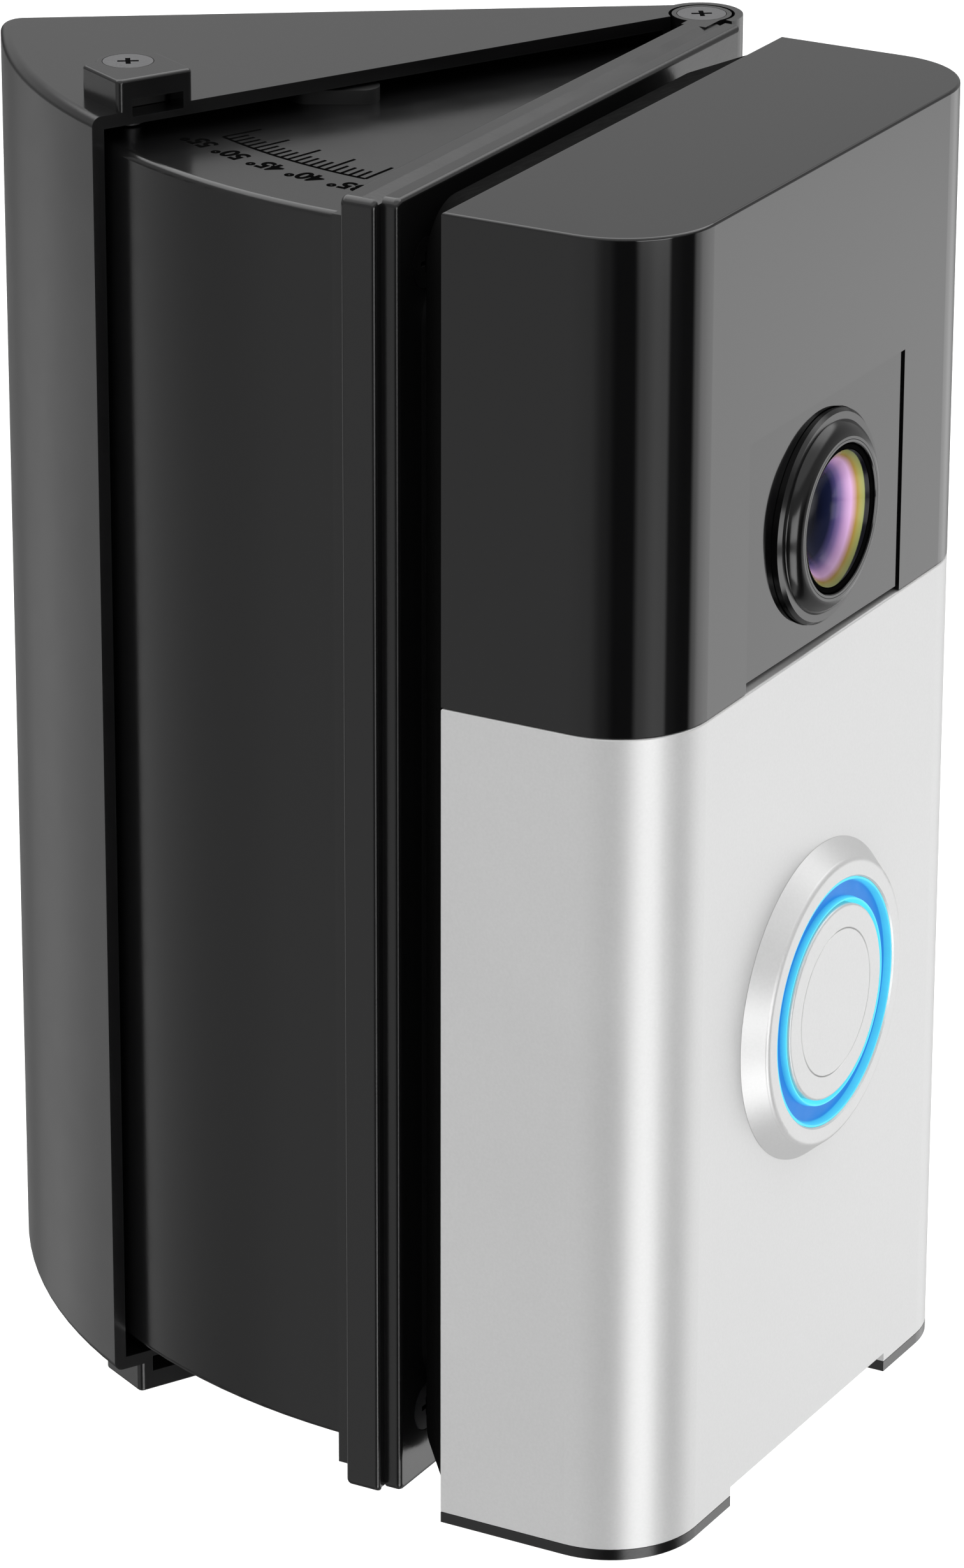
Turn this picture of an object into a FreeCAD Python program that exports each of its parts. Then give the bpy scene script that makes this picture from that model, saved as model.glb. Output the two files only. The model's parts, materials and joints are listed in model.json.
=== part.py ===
import FreeCAD, Part
import math
import os

from FreeCAD import Placement, Rotation, Vector

# Video doorbell on an adjustable angle mount. Millimetres, +Z up.
# Row frame: the wall is the plane Y = 0 and the doorbell stands out towards -Y. The origin is the
# centre of the four wall screws. The mount's hinge axis is vertical, at the mount's right-hand end.
#
# Three frames are used. Wall pieces are drawn in the row frame. Pieces of the swinging plate are
# drawn in the plate frame: origin on the hinge axis, X along the plate, Y towards the wall.
# Doorbell pieces are drawn in the doorbell frame: X from its left side, Y from its front face
# towards the wall, Z from its bottom edge.

# --- driving dimensions -------------------------------------------------------------------------
# the mount
PLATE_ANGLE = 56.0        # between the doorbell plate and the wall, fully swung out
PLATE_ANGLE_MIN = 34.0    # the same, folded in as far as it goes
HALF_HEIGHT = 60.7        # the mount's half height
HINGE_X = 30.0            # hinge axis in the row frame
HINGE_RADIUS = 3.8        # hinge post, which is also the hinge axis' distance from the wall
OUTER_RADIUS = 64.0       # curved side of the wall housing
OUTER_WALL = 1.2
OUTER_CORNER = 2.2        # rounding where the curved side meets the wall
OUTER_EDGE = 0.9          # rounding of the curved side's top and bottom edges
BACK_WALL = 1.6
OUTER_SPREAD = 28.4       # angle between the wall and the wall housing's open face
OUTER_SETBACK = 0.73      # that face passes this far behind the hinge axis
INNER_RADIUS = 62.0       # curved side of the swinging housing
INNER_WALL = 1.6
INNER_HALF_HEIGHT = 57.9
EAR_RADIUS = 2.75         # hinge ears, flush with the wall housing's top and bottom
EAR_THICKNESS = 3.0
RIM_LEFT = 65.55          # rim plate's reach from the hinge axis
RIM_THICKNESS = 3.4
RIM_CORNER = 0.8          # rounding of both plates' outer corners
PLATE_LEFT = 64.4         # doorbell plate's reach from the hinge axis
PLATE_THICKNESS = 1.6
PLATE_RIGHT = 1.9         # both plates stop this far short of the hinge axis
BOSS_ALONG = (53.7, 61.3)  # lock boss, measured along the open face from the hinge
BOSS_DEPTH = 6.4
BOSS_HEIGHT = 2.9
BOSS_ROUND = 2.9          # swelling of the boss behind its screw
LOCK_ALONG = 57.3         # lock screw axis along the open face, and behind it
LOCK_BEHIND = 5.1
# the doorbell
BELL_WIDTH = 62.0
BELL_HEIGHT = 122.1
BELL_SIDE = 21.1          # depth of the visible side
BELL_BACK = 27.0          # the doorbell plate's front face
BELL_CORNER = 8.6         # rounding of the two front vertical edges
SPLIT_Z = 78.0            # where the black cover meets the silver faceplate
COVER_WALL = 2.0
LENS_AXIS = (30.7, 89.6)
BUTTON_AXIS = (30.7, 44.0)
PANEL_SIDES = (15.8, 45.5)   # camera panel, sunk a little into the cover
PANEL_DEPTHS = (0.6, 0.2)    # at its left and right side
PANEL_TOP = 100.6
PANEL_GAP = 0.5              # slot under the panel
NOTCH = (15.5, 46.5)      # finger notch in the middle of the lower edge
NOTCH_HEIGHT = 1.9
NOTCH_DEPTH = 5.0
FOOT_THICKNESS = 1.0      # dark foot under the faceplate
HINGE_IN_BELL = (67.4, 32.0)  # hinge axis in the doorbell frame
TERMINALS = (24.0, 38.0)      # chime wire terminals, sideways
TERMINAL_Z = 58.0
WALL_HOLES = (18.0, 46.0)     # wall screw holes, half spacings
WALL_HOLE_RADIUS = 2.2
M25_SHANK = 1.25
M25_HEAD = 2.25
FIT = 0.06                # radial clearance of a shank in its hole

HINGE_Y = -HINGE_RADIUS
OUTER_LEFT = HINGE_X - OUTER_RADIUS
UP = Vector(0, 0, 1)
INWARD = Vector(0, 1, 0)


# --- frames -------------------------------------------------------------------------------------
def from_plate(shape):
    """Moves a shape from the plate frame to the row frame, swung fully out."""
    moved = shape.copy()
    moved.Placement = Placement(Vector(HINGE_X, HINGE_Y, 0), Rotation(UP, PLATE_ANGLE)) * moved.Placement
    return moved


def from_bell(shape):
    """Moves a shape from the doorbell frame to the row frame."""
    moved = shape.copy()
    offset = Vector(-HINGE_IN_BELL[0], -HINGE_IN_BELL[1], -HALF_HEIGHT)
    moved.Placement = Placement(offset, Rotation()) * moved.Placement
    return from_plate(moved)


def both_ends(shape):
    """A shape and its mirror image below the mount's mid height."""
    return [shape, shape.mirror(Vector(0, 0, 0), UP)]


# --- shape helpers ------------------------------------------------------------------------------
def block(x, y, z):
    """Box between the low and high values of each axis."""
    return Part.makeBox(x[1] - x[0], y[1] - y[0], z[1] - z[0], Vector(x[0], y[0], z[0]))


def post(radius, x, y, z):
    """Upright cylinder between two heights."""
    return Part.makeCylinder(radius, z[1] - z[0], Vector(x, y, z[0]))


def peg(radius, x, z, y):
    """Cylinder along Y between two depths."""
    return Part.makeCylinder(radius, y[1] - y[0], Vector(x, y[0], z), INWARD)


def tube(outer, inner, x, z, y):
    """Ring along Y between two depths."""
    return peg(outer, x, z, y).cut(peg(inner, x, z, (y[0] - 1, y[1] + 1)))


def prism(points, z):
    """Upright prism on a polygon of (x, y) points."""
    corners = [Vector(x, y, z[0]) for x, y in points]
    face = Part.Face(Part.makePolygon(corners + corners[:1]))
    return face.extrude(Vector(0, 0, z[1] - z[0]))


def rounded_block(x, y, z, radius, along="Y"):
    """Box whose four edges along one axis are rounded."""
    box = block(x, y, z)
    pick = {"X": "x", "Y": "y", "Z": "z"}[along]
    edges = [e for e in box.Edges if abs(getattr(e.tangentAt(e.FirstParameter), pick)) > 0.99]
    return box.makeFillet(radius, edges)


def turned(steps, axis):
    """Solid of revolution about an axis along Y; steps are (radius, depth) points, or a pair of
    such points for an arc through the first to the second."""
    x0, z0 = axis

    def at(step):
        return Vector(x0 + step[0], step[1], z0)

    edges = []
    here = at(steps[0])
    for step in steps[1:] + steps[:1]:
        if isinstance(step[0], tuple):
            middle, end = at(step[0]), at(step[1])
            edges.append(Part.Arc(here, middle, end).toShape())
        else:
            end = at(step)
            edges.append(Part.makeLine(here, end))
        here = end
    face = Part.Face(Part.Wire(edges))
    return face.revolve(Vector(x0, 0, z0), INWARD, 360)


def round_edges(shape, radius, chosen):
    """Fillets the edges that the test chooses."""
    return shape.makeFillet(radius, [edge for edge in shape.Edges if chosen(edge)])


def cross_recess(head_radius, depth):
    """Cross-shaped driver recess, centred on the Z axis with its mouth at Z = 0."""
    reach = 0.42 * head_radius
    half = 0.10 * head_radius
    arm = block((-reach, reach), (-half, half), (-depth, 0.5))
    return arm.fuse(block((-half, half), (-reach, reach), (-depth, 0.5)))


def countersunk_screw(head_radius, shank_radius, length):
    """Screw along -Z with the top of its head at Z = 0."""
    cone_height = head_radius - shank_radius
    rim = 0.25
    head = Part.makeCylinder(head_radius, rim, Vector(0, 0, -rim))
    cone = Part.makeCone(shank_radius, head_radius, cone_height, Vector(0, 0, -rim - cone_height))
    shank = Part.makeCylinder(shank_radius, length - rim, Vector(0, 0, -length))
    return head.fuse([cone, shank]).cut(cross_recess(head_radius, 0.9)).removeSplitter()


def countersink(head_radius, shank_radius, length):
    """Clearance for a countersunk screw."""
    gap = FIT
    rim = 0.25
    cone_height = head_radius - shank_radius
    head = Part.makeCylinder(head_radius + gap, rim + 1, Vector(0, 0, -rim))
    foot = Vector(0, 0, -rim - cone_height)
    cone = Part.makeCone(shank_radius + gap, head_radius + gap, cone_height, foot)
    shank = Part.makeCylinder(shank_radius + gap, length + 1, Vector(0, 0, -length - 0.5))
    return head.fuse([cone, shank])


def pan_screw(head_radius, head_height, shank_radius, length):
    """Screw along -Z with a domed head that stands on Z = 0."""
    head = Part.makeCylinder(head_radius, head_height)
    head = round_edges(head, 0.45 * head_height, lambda e: e.BoundBox.ZMin > 0.9 * head_height)
    shank = Part.makeCylinder(shank_radius, length, Vector(0, 0, -length))
    recess = cross_recess(head_radius, 0.6 * head_height)
    recess.translate(Vector(0, 0, head_height))
    return head.fuse(shank).cut(recess).removeSplitter()


def drive(shape, at, head_towards):
    """Puts a screw made along Z at a point, its head facing the given way."""
    moved = shape.copy()
    moved.Placement = Placement(Vector(*at), Rotation(UP, Vector(*head_towards))) * moved.Placement
    return moved


def open_face_point(along, behind):
    """Row-frame point measured along the wall housing's open face, and behind it."""
    turn = math.radians(OUTER_SPREAD)
    back = behind + OUTER_SETBACK
    x = HINGE_X - along * math.cos(turn) - back * math.sin(turn)
    y = HINGE_Y - along * math.sin(turn) + back * math.cos(turn)
    return x, y


def open_face_box(along, behind, z):
    """Box squared to the wall housing's open face."""
    corners = [(along[0], behind[0]), (along[1], behind[0]), (along[1], behind[1]), (along[0], behind[1])]
    return prism([open_face_point(*corner) for corner in corners], z)


# --- wall housing -------------------------------------------------------------------------------
def wall_housing():
    """Hollow sector on the wall: back, top, bottom and curved side, open towards the plate."""
    high = (-HALF_HEIGHT, HALF_HEIGHT)
    body = block((HINGE_X - 90, HINGE_X), (-50, 0), high).common(post(OUTER_RADIUS, HINGE_X, HINGE_Y, high))
    body = round_edges(body, OUTER_CORNER,
                       lambda e: e.BoundBox.XMax < OUTER_LEFT + 1 and e.BoundBox.ZLength > 100)
    body = round_edges(body, OUTER_EDGE, on_curved_rim)
    wedge = prism([open_face_point(0, 0), open_face_point(90, 0), (HINGE_X - 90, 0), (HINGE_X, 0)], high)
    body = body.common(wedge)
    body = body.fuse(post(HINGE_RADIUS, HINGE_X, HINGE_Y, high))
    cavity_high = (-HALF_HEIGHT + OUTER_WALL, HALF_HEIGHT - OUTER_WALL)
    cavity = post(OUTER_RADIUS - OUTER_WALL, HINGE_X, HINGE_Y, cavity_high)
    cavity = cavity.common(block((HINGE_X - 80, HINGE_X), (-80, -BACK_WALL), cavity_high))
    body = body.cut(cavity.cut(post(HINGE_RADIUS, HINGE_X, HINGE_Y, cavity_high)))
    for boss in both_ends(lock_boss()):
        body = body.fuse(boss)
    for cut in both_ends(ear_clearance()) + both_ends(lock_pocket()):
        body = body.cut(cut)
    for x in (-WALL_HOLES[0], WALL_HOLES[0]):
        for z in (-WALL_HOLES[1], WALL_HOLES[1]):
            body = body.cut(peg(WALL_HOLE_RADIUS, x, z, (-BACK_WALL - 1, 1)))
    body = body.cut(rounded_block((-12, 12), (-BACK_WALL - 1, 1), (-24, 24), 3.0))
    return body.removeSplitter()


def on_curved_rim(edge):
    """True for the edges of the curved side at the top and bottom."""
    box = edge.BoundBox
    return box.ZLength < 1 and box.XMin < OUTER_LEFT + 12 and box.YMin < -0.01 and box.YMin > -49.9


def ear_clearance():
    """Room for one hinge ear: a round seat, opened over the plate's swing, and the screw's hole."""
    low = HALF_HEIGHT - EAR_THICKNESS - 0.2
    high = (low, HALF_HEIGHT + 1)
    seat = post(EAR_RADIUS + 0.3, HINGE_X, HINGE_Y, high)
    reach = 3 * HINGE_RADIUS
    opening = [(HINGE_X, HINGE_Y)]
    for angle in (-50, -90, -130):
        turn = math.radians(angle)
        opening.append((HINGE_X + reach * math.cos(turn), HINGE_Y + reach * math.sin(turn)))
    opening += [open_face_point(reach, 0), open_face_point(0, 0)]
    thread = post(M25_SHANK + FIT / 2, HINGE_X, HINGE_Y, (low - 12, low + 1))
    return seat.fuse([prism(opening, high), thread])


def lock_boss():
    """Raised block that holds a lock screw and its nut."""
    high = (HALF_HEIGHT - 0.5, HALF_HEIGHT + BOSS_HEIGHT)
    boss = open_face_box(BOSS_ALONG, (0, BOSS_DEPTH), high)
    boss = round_edges(boss, 0.5, lambda e: e.BoundBox.ZLength > 1)
    boss = boss.fuse(post(BOSS_ROUND, *open_face_point(LOCK_ALONG, LOCK_BEHIND), high)).removeSplitter()
    return round_edges(boss, 0.3, lambda e: e.BoundBox.ZMin > HALF_HEIGHT + BOSS_HEIGHT - 0.01)


def lock_pocket():
    """Screw hole through a lock boss, and the slot for its square nut."""
    x, y = open_face_point(LOCK_ALONG, LOCK_BEHIND)
    hole = drive(countersink(M25_HEAD, M25_SHANK, 5.0), (x, y, HALF_HEIGHT + BOSS_HEIGHT), (0, 0, 1))
    slot = open_face_box((LOCK_ALONG - 2.6, LOCK_ALONG + 2.6), (-1, LOCK_BEHIND + 2.6),
                         (HALF_HEIGHT - 0.55, HALF_HEIGHT + 1.0))
    return hole.fuse(slot)


def lock_screws():
    """Screws whose tips bear on the swinging housing and hold the chosen angle."""
    x, y = open_face_point(LOCK_ALONG, LOCK_BEHIND)
    top = HALF_HEIGHT + BOSS_HEIGHT
    length = top - INNER_HALF_HEIGHT - 0.15
    return both_ends(drive(countersunk_screw(M25_HEAD, M25_SHANK, length), (x, y, top), (0, 0, 1)))


def lock_nuts():
    """Square nuts held in the lock bosses."""
    nut = open_face_box((LOCK_ALONG - 2.5, LOCK_ALONG + 2.5), (LOCK_BEHIND - 2.5, LOCK_BEHIND + 2.5),
                        (HALF_HEIGHT - 0.5, HALF_HEIGHT + 0.9))
    nut = round_edges(nut, 0.3, lambda e: e.BoundBox.ZLength > 1)
    x, y = open_face_point(LOCK_ALONG, LOCK_BEHIND)
    return both_ends(nut.cut(post(M25_SHANK + FIT / 2, x, y, (HALF_HEIGHT - 2, HALF_HEIGHT + 2))))


def hinge_screws():
    """Screws that hold the two ears on the hinge post and act as the hinge pins."""
    screw = countersunk_screw(M25_HEAD, M25_SHANK, 13.0)
    return both_ends(drive(screw, (HINGE_X, HINGE_Y, HALF_HEIGHT), (0, 0, 1)))


# --- swinging housing ---------------------------------------------------------------------------
def swing_wedge(high, back_offset):
    """Plan area behind the plate that still clears the wall when the plate is folded in."""
    turn = math.radians(PLATE_ANGLE_MIN)
    along = (-math.cos(turn), math.sin(turn))
    back = (math.sin(turn) * back_offset, math.cos(turn) * back_offset)
    far = (90 * along[0] + back[0], 90 * along[1] + back[1])
    return prism([(0, 0), (-90, 0), (-90, 5), far, back], high)


def swing_housing():
    """Hollow sector that telescopes into the wall housing, in one piece with the rim plate."""
    high = (-INNER_HALF_HEIGHT, INNER_HALF_HEIGHT)
    sector = swing_wedge(high, 1.6).common(post(INNER_RADIUS, 0, 0, high))
    sector = round_edges(sector, 0.6, lambda e: e.BoundBox.ZLength < 0.1
                         and e.BoundBox.XMax < -45 and abs(e.Length) > 20)
    hollow_high = (-INNER_HALF_HEIGHT + INNER_WALL, INNER_HALF_HEIGHT - INNER_WALL)
    hollow = swing_wedge(hollow_high, 5.0).common(post(INNER_RADIUS - INNER_WALL, 0, 0, hollow_high))
    sector = sector.cut(hollow)
    sector = sector.cut(post(HINGE_RADIUS + 0.5, 0, 0, (-58.5, 58.5)))
    body = sector.fuse([rim_plate(), rim_step()])
    for ear in both_ends(hinge_ear()):
        body = body.fuse(ear)
    pin_hole = drive(countersink(M25_HEAD, M25_SHANK, EAR_THICKNESS), (0, 0, HALF_HEIGHT), (0, 0, 1))
    for cut in both_ends(pin_hole):
        body = body.cut(cut)
    thread = Part.makeCylinder(M25_SHANK + FIT / 2, 20, Vector(0, 0, -10))
    for place in plate_screw_places():
        body = body.cut(drive(thread, place, (0, -1, 0)))
    return body.removeSplitter()


def rim_plate():
    """Flat rim that closes over the wall housing's open face, with a large window."""
    high = (-HALF_HEIGHT, HALF_HEIGHT)
    rim = block((-RIM_LEFT, -PLATE_RIGHT), (-RIM_THICKNESS, 0), high)
    rim = round_edges(rim, RIM_CORNER, lambda e: e.BoundBox.XMax < -RIM_LEFT + 0.01 and e.BoundBox.YLength > 1)
    rim = round_edges(rim, 0.4, lambda e: e.BoundBox.XMax < -RIM_LEFT + 0.01 and e.BoundBox.ZLength > 100)
    window = rounded_block((-50, -14), (-RIM_THICKNESS - 1, 1), (-46, 46), 4.0)
    between_ears = (-HALF_HEIGHT + EAR_THICKNESS, HALF_HEIGHT - EAR_THICKNESS)
    rim = rim.cut(window).cut(post(HINGE_RADIUS + 0.4, 0, 0, between_ears))
    front, top = -RIM_THICKNESS, HALF_HEIGHT
    slope = [(front - 0.1, top + 0.1), (front - 0.1, top - 0.45), (front, top - 0.45), (front + 1.6, top),
             (front + 1.6, top + 0.1)]
    corners = [Vector(-RIM_LEFT + 0.6, y, z) for y, z in slope]
    bevel = Part.Face(Part.makePolygon(corners + corners[:1])).extrude(Vector(RIM_LEFT + 5, 0, 0))
    for cut in both_ends(bevel):
        rim = rim.cut(cut)
    return rim


def rim_step():
    """Narrow step between the rim plate and the curved side."""
    high = (-HALF_HEIGHT + 1.9, HALF_HEIGHT - 1.9)
    step = post(OUTER_RADIUS + 0.9, 0, 0, high).common(block((-70, -58), (-0.5, 1.1), high))
    return step.cut(post(INNER_RADIUS - INNER_WALL, 0, 0, high))


def hinge_ear():
    """Flat ear on the hinge axis, flush with the rim plate's top."""
    high = (HALF_HEIGHT - EAR_THICKNESS, HALF_HEIGHT)
    return post(EAR_RADIUS, 0, 0, high).fuse(block((-4, -0.6), (-2.5, 0), high))


def glide_pads():
    """Low pads that keep the two housings apart in height."""
    high = (INNER_HALF_HEIGHT, HALF_HEIGHT - OUTER_WALL - 0.3)
    pad = rounded_block((-4, 4), (-1.8, 1.8), high, 1.7, along="Z")
    turn = math.radians(31.5)
    pad.Placement = Placement(Vector(-38 * math.cos(turn), 38 * math.sin(turn), 0), Rotation(UP, -61.0))
    return both_ends(pad)


def plate_screw_places():
    """Heads of the four screws that hold the doorbell plate to the rim plate."""
    front = -RIM_THICKNESS - PLATE_THICKNESS
    return [(x, front, z) for x in (-59.5, -8.0) for z in (-54.0, 54.0)]


def bracket_screw_places():
    """Heads of the four screws that hold the doorbell's bracket to the plate."""
    return [(x, 25.4, z) for x in (13.0, 49.0) for z in (18.0, 104.0)]


def doorbell_plate():
    """Plate that the doorbell's bracket is screwed to."""
    depth = (-RIM_THICKNESS - PLATE_THICKNESS, -RIM_THICKNESS)
    plate = block((-PLATE_LEFT, -PLATE_RIGHT), depth, (-HALF_HEIGHT, HALF_HEIGHT))
    plate = round_edges(plate, RIM_CORNER, lambda e: e.BoundBox.XMax < -PLATE_LEFT + 0.01
                        and e.BoundBox.YLength > 1)
    plate = round_edges(plate, 0.5, lambda e: e.BoundBox.YMax < depth[0] + 0.01)
    plate = plate.cut(post(HINGE_RADIUS + 0.4, 0, 0, (-57.5, 57.5)))
    plate = plate.cut(rounded_block((-47, -27), (depth[0] - 1, depth[1] + 1), (-31, -5), 3.0))
    for place in plate_screw_places():
        plate = plate.cut(drive(countersink(M25_HEAD, M25_SHANK, 4.0), place, (0, -1, 0)))
    for x, _, z in bracket_screw_places():
        hole = peg(M25_SHANK + FIT / 2, x - HINGE_IN_BELL[0], z - HALF_HEIGHT, (depth[0] - 1, depth[1] + 1))
        plate = plate.cut(hole)
    return plate.removeSplitter()


def plate_screws():
    """Screws from the plate's front into the rim plate."""
    screw = countersunk_screw(M25_HEAD, M25_SHANK, 4.6)
    return [drive(screw, place, (0, -1, 0)) for place in plate_screw_places()]


# --- doorbell covers ----------------------------------------------------------------------------
def bell_prism(inset, z, back):
    """The doorbell's plan outline, drawn in by an inset, between two heights."""
    left, right, front = inset, BELL_WIDTH - inset, inset
    radius = BELL_CORNER - inset
    chord = radius * (1 - math.sqrt(0.5))
    edges = [
        Part.makeLine(Vector(left, back, z[0]), Vector(left, front + radius, z[0])),
        Part.Arc(Vector(left, front + radius, z[0]), Vector(left + chord, front + chord, z[0]),
                 Vector(left + radius, front, z[0])).toShape(),
        Part.makeLine(Vector(left + radius, front, z[0]), Vector(right - radius, front, z[0])),
        Part.Arc(Vector(right - radius, front, z[0]), Vector(right - chord, front + chord, z[0]),
                 Vector(right, front + radius, z[0])).toShape(),
        Part.makeLine(Vector(right, front + radius, z[0]), Vector(right, back, z[0])),
        Part.makeLine(Vector(right, back, z[0]), Vector(left, back, z[0])),
    ]
    return Part.Face(Part.Wire(edges)).extrude(Vector(0, 0, z[1] - z[0]))


def upper_cover():
    """Glossy cover with the camera panel sunk into it."""
    cover = bell_prism(0, (SPLIT_Z + 0.06, BELL_HEIGHT), BELL_SIDE)
    cover = round_edges(cover, 0.25, lambda e: e.BoundBox.ZMin > BELL_HEIGHT - 0.01)
    cover = cover.cut(bell_prism(COVER_WALL, (SPLIT_Z - 1, BELL_HEIGHT - COVER_WALL), BELL_SIDE + 1))
    left, right = PANEL_SIDES
    outline = [(left, -1), (left, PANEL_DEPTHS[0]), (right, PANEL_DEPTHS[1]), (right, -1)]
    cover = cover.cut(prism(outline, (SPLIT_Z - 1, PANEL_TOP)))
    cover = cover.cut(block(PANEL_SIDES, (-1, 1.5), (SPLIT_Z - 1, SPLIT_Z + PANEL_GAP)))
    cover = cover.cut(peg(9.7, *LENS_AXIS, (-1, 1.15)))
    return cover.cut(peg(8.3, *LENS_AXIS, (-1, 5))).removeSplitter()


def faceplate():
    """Satin silver cover of the lower half, with the button's hole and the finger notch."""
    plate = bell_prism(0, (FOOT_THICKNESS + 0.06, SPLIT_Z - 0.06), BELL_SIDE)
    plate = round_edges(plate, 0.2, lambda e: e.BoundBox.ZMin > SPLIT_Z - 0.1)
    plate = plate.cut(bell_prism(1.8, (2.5, SPLIT_Z + 1), BELL_SIDE + 1))
    plate = plate.cut(peg(12.9, *BUTTON_AXIS, (-1, 3)))
    plate = plate.cut(block(NOTCH, (-1, NOTCH_DEPTH), (0, NOTCH_HEIGHT)))
    return plate.cut(post(2.3, 31, 12, (0, 4))).removeSplitter()


def bottom_trim():
    """Dark foot under the faceplate, cut away at the finger notch."""
    trim = bell_prism(0, (0, FOOT_THICKNESS), BELL_SIDE)
    trim = trim.cut(block(NOTCH, (-1, NOTCH_DEPTH), (-1, 2)))
    trim = trim.cut(post(2.3, 31, 12, (-1, 4)))
    for x in (25, 28, 34, 37):
        trim = trim.cut(rounded_block((x - 0.5, x + 0.5), (6, 9), (-1, 2), 0.45, along="Z"))
    return trim.removeSplitter()


def security_screw():
    """Screw under the doorbell that keeps the faceplate on."""
    screw = pan_screw(2.0, 1.4, 1.2, 7.5)
    return [drive(screw, (31, 12, 2.0), (0, 0, -1))]


# --- camera -------------------------------------------------------------------------------------
def lens_bezel():
    """Ring round the lens: flange with a bevelled rim, and a domed collar."""
    return turned([(9.6, 1.1), (9.6, -0.06), (9.3, -0.36), (8.65, -0.36), (8.6, -0.42),
                   ((8.15, -1.02), (7.3, -1.42)), (7.05, -1.42), (7.05, 0.6), (6.9, 0.8), (6.9, 5.0),
                   (8.2, 5.0), (8.2, 1.1)], LENS_AXIS)


def lens_trim_ring():
    """Thin ring that finishes the collar's mouth."""
    return turned([(7.0, 0.5), (7.0, -1.42), (6.78, -1.42), (6.7, -1.34), (6.6, 0.5)], LENS_AXIS)


def lens_barrel():
    """Barrel that holds the glass."""
    return turned([(6.55, 0.9), (6.55, -1.2), (6.2, -1.15), (6.2, 0.5), (5.2, 2.6), (4.6, 3.6), (4.1, 3.9),
                   (4.1, 10.5), (6.0, 10.5), (6.0, 6.0), (6.8, 6.0), (6.8, 0.9)], LENS_AXIS)


def front_lens():
    """Front element, deeply hollow towards the visitor."""
    return turned([(0, 3.3), (4.4, 3.3), (6.1, 0.4), (6.1, -1.1), ((5.3, -0.35), (4.15, 0.88)),
                   ((2.6, 1.9), (0.2, 2.3)), (0, 2.3)], LENS_AXIS)


def rear_lens():
    """Small element deep in the barrel."""
    return turned([(0, 6.4), (0.2, 6.4), ((2.0, 6.1), (4.0, 5.6)), (4.0, 4.6), ((2.0, 4.2), (0.2, 4.0)),
                   (0, 4.0)], LENS_AXIS)


def image_sensor_board():
    """Board behind the barrel, with the sensor chip on it."""
    x, z = LENS_AXIS
    board = block((x - 10, x + 10), (11.6, 12.4), (z - 9, z + 9))
    chip = block((x - 3.8, x + 3.8), (10.6, 11.6), (z - 3.8, z + 3.8))
    return board.fuse(chip)


def camera_flex():
    """Ribbon between the sensor board and the main board."""
    ribbon = block((27, 35), (12.4, 12.55), (76.5, 86))
    fold = block((27, 35), (12.4, 15.0), (76.35, 76.5))
    return ribbon.fuse(fold).removeSplitter()


def ir_leds():
    """Six infrared lamps round the lens, behind the dark panel."""
    lamps = []
    for step in range(6):
        turn = math.radians(60 * step + 30)
        x = LENS_AXIS[0] + 13.2 * math.cos(turn)
        z = LENS_AXIS[1] + 13.2 * math.sin(turn)
        lamps.append(peg(1.3, x, z, (2.3, 5.2)))
    return lamps


def ir_led_board():
    """Ring board that carries the infrared lamps."""
    return tube(15.2, 9.4, *LENS_AXIS, (5.2, 6.0))


# --- button -------------------------------------------------------------------------------------
def button_bezel():
    """Sloped silver ring round the button."""
    return turned([(14.75, -0.02), (13.3, -1.7), ((13.08, -1.92), (12.75, -2.0)), (11.6, -2.0),
                   (11.45, -1.85), (11.45, 3.0), (12.8, 3.0), (12.8, -0.02)], BUTTON_AXIS)


def light_ring():
    """Clear channel-shaped ring that glows round the button."""
    return turned([(11.4, 4.5), (11.4, -1.85), (11.2, -1.85), (11.1, -1.25), (9.6, -1.25), (9.5, -1.8),
                   (9.35, -1.8), (9.35, 4.5)], BUTTON_AXIS)


def button_cap():
    """Call button: a shallow cup on a stem."""
    return turned([(0, -1.95), (6.7, -1.95), (6.78, -1.82), (6.86, -1.95), (8.75, -1.95),
                   ((8.93, -1.88), (9.0, -1.7)), (9.0, 2.2), (8.05, 2.2), (8.05, -0.4), (3.0, -0.4),
                   (3.0, 9.6), (0, 9.6)], BUTTON_AXIS)


def button_guide():
    """Bush that the button's stem slides in, on a flange behind the light ring."""
    return turned([(3.07, 3.3), (5.0, 3.3), (5.0, 5.2), (14.6, 5.2), (14.6, 6.0), (5.0, 6.0), (5.0, 8.4),
                   (3.07, 8.4)], BUTTON_AXIS)


def return_pad():
    """Silicone ring that pushes the button back."""
    return turned([(5.3, 0.4), (7.4, 0.4), (8.5, 5.15), (6.6, 5.15)], BUTTON_AXIS)


def ring_lamps():
    """Eight lamps that light the ring."""
    lamps = []
    for step in range(8):
        turn = math.radians(45 * step)
        x = BUTTON_AXIS[0] + 10.5 * math.cos(turn)
        z = BUTTON_AXIS[1] + 10.5 * math.sin(turn)
        lamps.append(block((x - 0.9, x + 0.9), (4.55, 5.2), (z - 0.9, z + 0.9)))
    return lamps


def press_switch():
    """Push switch on the main board, worked by the stem."""
    x, z = BUTTON_AXIS
    case = rounded_block((x - 3.1, x + 3.1), (11.4, 15.0), (z - 3.1, z + 3.1), 0.4)
    return case.fuse(peg(1.75, x, z, (10.5, 11.5)))


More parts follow.
